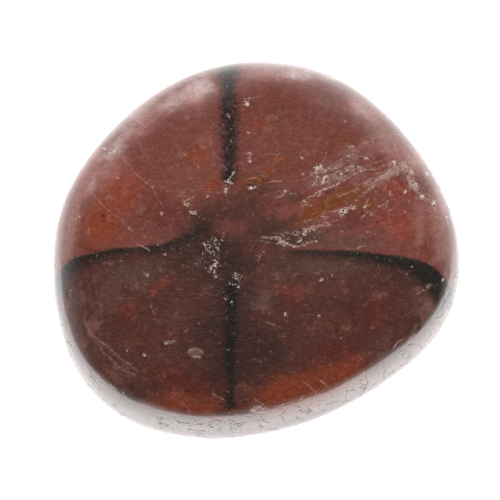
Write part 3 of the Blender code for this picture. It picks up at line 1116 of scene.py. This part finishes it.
level_cover = add_node(tree, "Math", {0: shade_below_sheet, 1: 0.30}, operation="MULTIPLY")[0]
for start, full, hex_colour in LEVEL_MARKS:
    sockets = {0: patterns["level_grain"], 1: start, 2: full, 3: 0.0, 4: level_cover}
    fine_layers.append((add_node(tree, "MapRange", sockets, **SMOOTH)[0], hex_colour))
print("fine layers so far:", len(fine_layers))

# %% Specks and strokes
# pattern, threshold away from crowds, how much crowds lower it, rise, cover, colour
# the bright specks and bright strokes are partly painted glints
SPECKS = {
    "dark flecks": ("flecks", 0.65, 0.12, 0.08, 0.55, "#341C17"),
    "faint specks": ("grain", 0.66, 0.06, 0.08, 0.42, "#B48E81"),
    "streaked specks": ("fine_streaks", 0.73, 0.10, 0.08, 0.50, "#C4A195"),
    "bright specks": ("fine", 0.79, 0.10, 0.05, 0.90, "#EADAD2"),
}
# the same for the pattern that picks the pieces, and then the pattern whose lines
# they are pieces of, and its value there
STROKES = {
    "faint strokes": ("flecks", 0.59, 0.10, 0.12, 0.46, "#BC9789", "fine_strokes", 0.5),
    "clouded strokes": ("mottle", 0.60, 0.06, 0.12, 0.25, "#B18D82", "fine_strokes", 0.5),
    "dark strokes": ("grain", 0.58, 0.24, 0.12, 0.65, "#38211C", "strokes", 0.44),
    "bright strokes": ("flecks", 0.75, 0.33, 0.12, 0.85, "#DBC0AD", "strokes", 0.5),
    "bright fine strokes": ("flecks", 0.75, 0.30, 0.12, 0.90, "#E6D0C0", "fine_strokes", 0.5),
}
STROKE = 0.036                          # half their width, in steps of the pattern
marks = {}
for name, (pattern, threshold, crowding, rise, cover, hex_colour, *on_lines) in (SPECKS | STROKES).items():
    sockets = {0: covers["sparkle"], 1: -crowding, 2: threshold}
    lowered = add_node(tree, "Math", sockets, operation="MULTIPLY_ADD")[0]
    raised = add_node(tree, "Math", {0: lowered, 1: rise}, operation="ADD")[0]
    sockets = {0: patterns[pattern], 1: lowered, 2: raised, 3: 0.0, 4: cover}
    if on_lines:
        pieces = add_node(tree, "MapRange", sockets)[0]
        past = add_node(tree, "Math", {0: patterns[on_lines[0]], 1: on_lines[1]}, operation="SUBTRACT")[0]
        off_line = add_node(tree, "Math", {0: past}, operation="ABSOLUTE")[0]
        sockets = {0: off_line, 1: STROKE, 2: 0.3 * STROKE, 3: 0.0, 4: pieces}
        marks[name] = add_node(tree, "MapRange", sockets)[0]
    else:
        marks[name] = add_node(tree, "MapRange", sockets, **SMOOTH)[0]
    fine_layers.append((marks[name], hex_colour))
print("fine layers so far:", len(fine_layers))

# %% [markdown]
# ## Lines and spots
#
# The mesh keeps how far each point lies from a line or a spot, in half widths or
# radii. Noise is added to that distance, so that the edges are as rough as those
# of real chips, and a line shows only in pieces.

# %% The lines and spots as layers
LINE_LOOKS = {                          # raggedness in half widths, cover, colour
    "arcs": (1.5, 0.80, "#976F64"),
    "cracks": (2.0, 0.90, "#2A1B18"),
    "rust": (2.0, 0.90, "#A8552F"),
    "veins": (6.0, 0.70, "#BFA097"),
    "scratches": (3.0, 0.75, "#C8A99D"),
}
for name, (raggedness, cover, hex_colour) in LINE_LOOKS.items():
    side, strength = from_mesh[name + "_side"]["Fac"], from_mesh[name + "_strength"]["Fac"]
    off = add_node(tree, "Math", {0: side}, operation="ABSOLUTE")[0]
    sockets = {0: patterns["fine"], 1: raggedness, 2: off}
    noisy = add_node(tree, "Math", sockets, operation="MULTIPLY_ADD")[0]
    most = add_node(tree, "Math", {0: strength, 1: cover}, operation="MULTIPLY")[0]
    gaps = add_node(tree, "MapRange", {0: patterns["grain"], 1: 0.38, 2: 0.60, 3: 0.0, 4: most})[0]
    middle = 0.5 * raggedness
    sockets = {0: noisy, 1: middle + 1.3, 2: middle + 0.3, 3: 0.0, 4: gaps}
    marks[name] = add_node(tree, "MapRange", sockets, **SMOOTH)[0]
    fine_layers.append((marks[name], hex_colour))

# the glints' pale colour is a painted highlight
SPOT_LOOKS = {                          # raggedness in radii, cover, colour
    "pits": (4.0, 0.85, "#2A1713"),
    "glints": (6.0, 0.95, "#E6D6CF"),
}
SPOT_GRAIN = 0.11                       # mm
sockets = {"Vector": in_mm, "Scale": 1.0 / SPOT_GRAIN, "Detail": 2.0}
grain_colour = add_node(tree, "TexNoise", sockets)["Color"]
push = add_node(tree, "VectorMath", {0: grain_colour, 1: (0.5, 0.5, 0.5)}, operation="SUBTRACT")[0]
for name, (raggedness, cover, hex_colour) in SPOT_LOOKS.items():
    parts = add_node(tree, "SeparateXYZ", {0: from_mesh[name]["Vector"]})
    flat = add_node(tree, "CombineXYZ", {0: parts[0], 1: parts[1]})[0]
    sockets = {0: push, 1: (raggedness, raggedness, 0.0), 2: flat}
    moved = add_node(tree, "VectorMath", sockets, operation="MULTIPLY_ADD")[0]
    reach = add_node(tree, "VectorMath", {0: moved}, operation="LENGTH")["Value"]
    most = add_node(tree, "Math", {0: parts[2], 1: cover}, operation="MULTIPLY")[0]
    sockets = {0: reach, 1: 1.1, 2: 0.4, 3: 0.0, 4: most}
    marks[name] = add_node(tree, "MapRange", sockets, **SMOOTH)[0]
    fine_layers.append((marks[name], hex_colour))

ring, ring_inside = from_mesh["ring"]["Fac"], from_mesh["ring_inside"]["Fac"]
broken_ring = add_node(tree, "MapRange", {0: patterns["flecks"], 1: 0.40, 2: 0.66, 3: 0.08, 4: ring})[0]
ring_line = add_node(tree, "Math", {0: broken_ring, 1: ring}, operation="MULTIPLY")[0]
ring_fill = add_node(tree, "Math", {0: ring_inside, 1: 0.30}, operation="MULTIPLY")[0]
fine_layers += [(ring_fill, "#9A8178"), (ring_line, "#CDB6AE")]
print("fine layers so far:", len(fine_layers))

# %% [markdown]
# ## Hairline cracks on the rim
#
# Where stones struck it in the tumbler, the rim has a net of hairline cracks, and
# only pieces of the net show. It is the edges of the cells of a Voronoi pattern,
# bent by noise. Real ones are finer than a pixel, so they are drawn 0.06 mm wide,
# and painted dark, as painted shade where they break the reflection.

# %% The hairlines
NET_SIZE = 1.3                          # mm
HAIR = 0.06                             # mm
BEND = 1.4                              # mm, how far noise moves the net
BENDS_PER_MM = 1.4                      # how often it bends
hair_edge = HAIR / NET_SIZE
bend = add_node(tree, "TexNoise", {"Vector": in_mm, "Scale": BENDS_PER_MM, "Detail": 3.0})["Color"]
bent = add_node(tree, "VectorMath", {0: bend, 1: (BEND, BEND, BEND), 2: in_mm}, operation="MULTIPLY_ADD")[0]
net = add_node(tree, "TexVoronoi", {"Vector": bent, "Scale": 1.0 / NET_SIZE}, feature="DISTANCE_TO_EDGE")[0]
rim = from_mesh["rim"]["Fac"]
pieces = add_node(tree, "MapRange", {0: patterns["mottle"], 1: 0.53, 2: 0.58, 3: 0.0, 4: rim})[0]
sockets = {0: net, 1: hair_edge, 2: 0.4 * hair_edge, 3: 0.0, 4: pieces}
marks["hairlines"] = add_node(tree, "MapRange", sockets)[0]
# painted shade: the hairlines are painted dark where they break the mirrored table
hair_shade = add_node(tree, "Math", {0: marks["hairlines"], 1: 0.80}, operation="MULTIPLY")[0]
fine_layers.append((hair_shade, "#2B1D1B"))
print("hairlines drawn, mm wide:", HAIR)

# %% [markdown]
# ## Colour, relief and gloss
#
# Each layer goes over the ones before it by its cover. The relief is a few
# thousandths of a millimetre: scratches and pits are sunk, so they break the
# reflections, which is how one sees that they lie on the skin and not inside.

# %% Lay the colours
TONES = {"fine": 0.16, "grain": 0.18, "flecks": 0.16, "level_grain": 0.18}  # lighter and darker by this
colour = linear(ROSE_BROWN)
for cover, hex_colour in body_layers:
    colour = add_node(tree, "Mix", {0: cover, 6: colour, 7: linear(hex_colour)}, data_type="RGBA")[2]
for pattern, change in TONES.items():
    sockets = {0: patterns[pattern], 1: 0.25, 2: 0.75, 3: 1.0 - change, 4: 1.0 + change}
    tone = add_node(tree, "MapRange", sockets)[0]
    sockets = {0: 1.0, 6: colour, 7: tone}
    colour = add_node(tree, "Mix", sockets, data_type="RGBA", blend_type="MULTIPLY")[2]
for cover, hex_colour in fine_layers:
    colour = add_node(tree, "Mix", {0: cover, 6: colour, 7: linear(hex_colour)}, data_type="RGBA")[2]
tree.links.new(colour, shader.inputs["Base Color"])
print("colour layers:", len(body_layers) + len(fine_layers))

# %% Relief and gloss
marks |= {"grain": patterns["grain"], "streaks": patterns["streaks"], "veil streaks": veil_streaks}
marks["rim cracks"] = add_node(tree, "Math", {0: marks["cracks"], 1: rim}, operation="MULTIPLY")[0]
RELIEF = {                              # mm
    "grain": 0.0008, "streaks": 0.0015, "bright specks": -0.006, "streaked specks": -0.005,
    "scratches": -0.008, "veins": -0.008, "cracks": -0.004, "rim cracks": -0.050,
    "bright strokes": -0.006, "glints": -0.010, "pits": -0.003, "hairlines": -0.040,
}
height = 0.0
for name, millimetres in RELIEF.items():
    sockets = {0: marks[name], 1: millimetres, 2: height}
    height = add_node(tree, "Math", sockets, operation="MULTIPLY_ADD")[0]
bump = add_node(tree, "Bump", {"Height": height, "Distance": MM, "Strength": 1.0})[0]

POLISH = 0.08                           # roughness
DULLER = {"veil streaks": 0.16, "hairlines": 0.15, "rim cracks": 0.15}
gloss = POLISH
for name, more in DULLER.items():
    gloss = add_node(tree, "Math", {0: marks[name], 1: more, 2: gloss}, operation="MULTIPLY_ADD")[0]
tree.links.new(gloss, shader.inputs["Roughness"])
tree.links.new(bump, shader.inputs["Normal"])
shader.inputs["IOR"].default_value = 1.64
shader.inputs["Subsurface Weight"].default_value = 0.25
shader.inputs["Subsurface Radius"].default_value = (1.0, 0.4, 0.25)
shader.inputs["Subsurface Scale"].default_value = 1.0 * MM
mesh.materials.append(stone)
print("nodes in the stone:", len(tree.nodes))

# %% [markdown]
# ## The light
#
# Stones like this are photographed on a lit white table, with a soft light above.
# The table is what the flanks mirror: that is the pale band round the lower edge.
# The room above is dark, so that the crown shows the inside of the stone. A camera
# that is set for the stone sees the table as plain white, so the table and the far
# wall look white to it, and the stone mirrors them brighter than that.

# %% The table
scene = bpy.context.scene
scene.view_settings.view_transform = "Standard"
TABLE_SIZE = 1.6                        # m
bpy.ops.mesh.primitive_plane_add(size=TABLE_SIZE)
floor = bpy.context.object
floor.name = "floor"

SHOWN = 0.92                            # the table's glow to the camera
SHED = 0.55                             # what lights the stone
MIRRORED_FRONT, MIRRORED_BACK = 5.3, 3.4  # what the polish mirrors
MIRRORED_UNDER = 1.1                    # the same right under the stone, which shades it
FAR_SHARE = 0.8                         # how much is left farther off
SHADED = (0.0125, 0.026)                # m from the middle, where the shade goes over to light
FADES = (0.03, 0.12)                    # m from the middle, where the glow falls to that share
paper = bpy.data.materials.new("white_light_table")
paper.use_nodes = True
tree = paper.node_tree
tree.nodes.clear()
out = tree.nodes.new("ShaderNodeOutputMaterial")
on_table = add_node(tree, "TexCoord")["Object"]
back = add_node(tree, "SeparateXYZ", {0: on_table})["Y"]
away = add_node(tree, "VectorMath", {0: on_table}, operation="LENGTH")["Value"]
ray = add_node(tree, "LightPath")
sockets = {0: back, 1: -0.01, 2: 0.01, 3: MIRRORED_FRONT, 4: MIRRORED_BACK}
beside = add_node(tree, "MapRange", sockets)[0]
sockets = {0: away, 1: FADES[0], 2: FADES[1], 3: 1.0, 4: FAR_SHARE}
share = add_node(tree, "MapRange", sockets)[0]
brightest = add_node(tree, "Math", {0: beside, 1: share}, operation="MULTIPLY")[0]
sockets = {0: away, 1: SHADED[0], 2: SHADED[1], 3: MIRRORED_UNDER, 4: brightest}
mirrored = add_node(tree, "MapRange", sockets)[0]
lighting = add_node(tree, "Mix", {0: ray["Is Glossy Ray"], 2: SHED, 3: mirrored})[0]
glow = add_node(tree, "Mix", {0: ray["Is Camera Ray"], 2: lighting, 3: SHOWN})[0]
emission = add_node(tree, "Emission", {"Strength": glow})[0]
diffuse = add_node(tree, "BsdfDiffuse", {"Color": linear("#DADADA")})[0]
tree.links.new(add_node(tree, "AddShader", {0: emission, 1: diffuse})[0], out.inputs["Surface"])
floor.data.materials.append(paper)
print("table, m:", TABLE_SIZE)

# %% The room and the lamp
# the walls glow low down: brighter and higher behind the stone than in front of it
FRONT_GLOW, FRONT_TOP = 2.2, 0.18
BACK_GLOW, BACK_TOP = 3.5, 0.66
DARK_ROOM = 0.09                        # what the crown mirrors
ROOM_LIGHT = 0.18                       # what lights the stone
world = bpy.data.worlds.new("studio")
scene.world = world
world.use_nodes = True
tree = world.node_tree
tree.nodes.clear()
out = tree.nodes.new("ShaderNodeOutputWorld")
way = add_node(tree, "SeparateXYZ", {0: add_node(tree, "TexCoord")["Generated"]})
ray = add_node(tree, "LightPath")
behind = add_node(tree, "MapRange", {0: way["Y"], 1: -0.4, 2: 0.05, 3: 0.0, 4: 1.0})[0]
glow = add_node(tree, "Mix", {0: behind, 2: FRONT_GLOW, 3: BACK_GLOW})[0]
top = add_node(tree, "Mix", {0: behind, 2: FRONT_TOP, 3: BACK_TOP})[0]
low = add_node(tree, "MapRange", {0: way["Z"], 1: top, 2: 0.0, 3: 0.0, 4: 1.0})[0]
squared = add_node(tree, "Math", {0: low, 1: low}, operation="MULTIPLY")[0]
walls = add_node(tree, "Math", {0: squared, 1: glow, 2: DARK_ROOM}, operation="MULTIPLY_ADD")[0]
lighting = add_node(tree, "Mix", {0: ray["Is Glossy Ray"], 2: ROOM_LIGHT, 3: walls})[0]
shown = add_node(tree, "Mix", {0: ray["Is Camera Ray"], 2: lighting, 3: 1.0})[0]
tree.links.new(add_node(tree, "Background", {"Strength": shown})[0], out.inputs["Surface"])

LAMP_SIZE = 0.5                         # m
LAMP_POWER = 3.0                        # W
light = bpy.data.lights.new("top_softbox", "AREA")
light.shape = "DISK"
light.size = LAMP_SIZE
light.energy = LAMP_POWER
lamp = bpy.data.objects.new("top_softbox", light)
lamp.location = (0.0, 0.1, 0.5)
lamp.rotation_euler = (-0.2, 0.0, 0.0)
lamp.visible_glossy = False
lamp.visible_camera = False
scene.collection.objects.link(lamp)
print("lamp, W:", LAMP_POWER, "across, m:", LAMP_SIZE)
